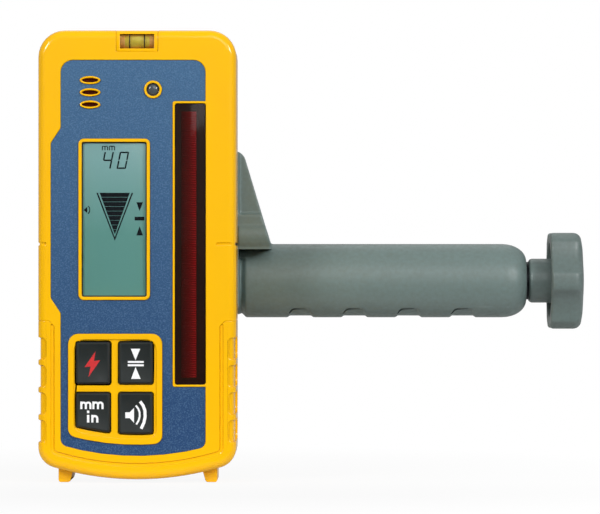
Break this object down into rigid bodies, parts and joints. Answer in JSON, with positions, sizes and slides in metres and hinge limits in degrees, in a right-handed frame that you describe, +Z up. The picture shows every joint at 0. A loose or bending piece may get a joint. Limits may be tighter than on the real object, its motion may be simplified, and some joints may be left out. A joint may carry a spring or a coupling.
{
  "type": "laser receiver",
  "caption": "Hand-sized laser level receiver with display, keypad and a tall sensor window, on a rod clamp with a tubular handle, a travelling jaw and a lobed hand knob.",
  "frame": {"origin": "on the clamp's flat rod seat, at the height of the receiver's on-grade line and at its centre", "axes": "+Z up, +X towards the clamp's knob, +Y out of the rod seat, away from the receiver's front"},
  "size_m": [0.2131, 0.0775, 0.1737],
  "materials": {
    "housing_plastic": "satin moulded",
    "guard_plastic": "satin moulded",
    "clamp_plastic": "fine moulded grain",
    "label_film": "speckled overlay",
    "filter_window": "dark red filter",
    "clear_pane": "clear",
    "display_glass": "display glass",
    "display_light": "diffuser",
    "lens_grey": "smoked lens",
    "key_rubber": "satin silicone",
    "mat_rubber": "silicone",
    "seal_rubber": "moulded seal",
    "pad_rubber": "grooved pad",
    "connector_rubber": "layered strip",
    "vial_clear": "clear acrylic",
    "vial_fluid": "yellow-green fluid",
    "vial_air": "air bubble",
    "board": "solder mask",
    "diode": "dark epoxy",
    "buzzer_case": "moulded",
    "membrane": "vent film",
    "dome_steel": "spring steel",
    "screw_steel": "zinc plated",
    "pin_steel": "ground",
    "cell_case": "plain wrapped cell",
    "contact_brass": "plated",
    "turned_brass": "turned",
    "cap_plastic": "fine moulded grain"
  },
  "bodies": {
    "receiver": {"front_housing": "housing_plastic", "rear_housing": "housing_plastic", "housing_gasket": "seal_rubber", "housing_screws": "screw_steel", "lower_guard": "guard_plastic", "front_label": "label_film", "sensor_window": "filter_window", "strobe_lens": "lens_grey", "lcd_window": "clear_pane", "lcd_panel": "display_glass", "lcd_backlight": "display_light", "lcd_connector": "connector_rubber", "keypad_mat": "mat_rubber", "key_domes": "dome_steel", "main_board": "board", "sensor_board": "board", "board_screws": "screw_steel", "photodiodes": "diode", "strobe_diode": "diode", "buzzer": "buzzer_case", "buzzer_membrane": "membrane", "vial_holder": "housing_plastic", "vial_tube": "vial_clear", "vial_liquid": "vial_fluid", "vial_bubble": "vial_air", "door_hinge_pin": "pin_steel", "battery_cells": "cell_case", "battery_springs": "dome_steel", "battery_contacts": "contact_brass", "mount_insert": "turned_brass", "clamp_frame": "clamp_plastic", "fixed_jaw_pad": "pad_rubber", "thrust_washer": "screw_steel"},
    "key_power": {"key_power": "key_rubber"},
    "key_deadband": {"key_deadband": "key_rubber"},
    "key_units": {"key_units": "key_rubber"},
    "key_sound": {"key_sound": "key_rubber"},
    "battery_door": {"battery_door": "housing_plastic"},
    "jaw": {"travelling_jaw": "clamp_plastic", "travelling_jaw_pad": "pad_rubber", "jaw_nut": "turned_brass"},
    "knob": {"clamp_knob": "clamp_plastic", "knob_screw": "screw_steel", "knob_cap": "cap_plastic", "clamp_screw": "screw_steel", "thrust_collar": "screw_steel", "collar_pin": "pin_steel"},
    "screw_retainer": {"screw_retainer": "screw_steel"},
    "mount_screw": {"mount_screw": "screw_steel"}
  },
  "joints": [
    {"name": "key_power_press", "type": "slide", "parent": "receiver", "child": "key_power", "axis": [0, 1, 0], "range_m": [0, 0.0008], "stiffness_N_per_m": 900, "springref_m": -0.0003},
    {"name": "key_deadband_press", "type": "slide", "parent": "receiver", "child": "key_deadband", "axis": [0, 1, 0], "range_m": [0, 0.0008], "stiffness_N_per_m": 900, "springref_m": -0.0003},
    {"name": "key_units_press", "type": "slide", "parent": "receiver", "child": "key_units", "axis": [0, 1, 0], "range_m": [0, 0.0008], "stiffness_N_per_m": 900, "springref_m": -0.0003},
    {"name": "key_sound_press", "type": "slide", "parent": "receiver", "child": "key_sound", "axis": [0, 1, 0], "range_m": [0, 0.0008], "stiffness_N_per_m": 900, "springref_m": -0.0003},
    {"name": "battery_door_hinge", "type": "hinge", "parent": "receiver", "child": "battery_door", "pos_m": [0, -0.009, -0.084], "axis": [-1, 0, 0], "range_deg": [0, 110]},
    {"name": "clamp_knob_turn", "type": "hinge", "parent": "receiver", "child": "knob", "pos_m": [0, 0.012, -0.0144], "axis": [1, 0, 0], "range_deg": [-1800, 900]},
    {"name": "jaw_slide", "type": "slide", "parent": "receiver", "child": "jaw", "axis": [1, 0, 0], "range_m": [-0.025, 0.0125]},
    {"name": "mount_screw_rise", "type": "slide", "parent": "receiver", "child": "screw_retainer", "axis": [0, 1, 0], "range_m": [0, 0.003]},
    {"name": "mount_screw_turn", "type": "hinge", "parent": "screw_retainer", "child": "mount_screw", "pos_m": [0, 0, 0.018], "axis": [0, 1, 0], "range_deg": [0, 1350]}
  ],
  "couplings": [
    {"joint": "clamp_knob_turn", "follows": "jaw_slide", "rad_per_m": 1256.6},
    {"joint": "mount_screw_turn", "follows": "mount_screw_rise", "rad_per_m": 7854}
  ]
}
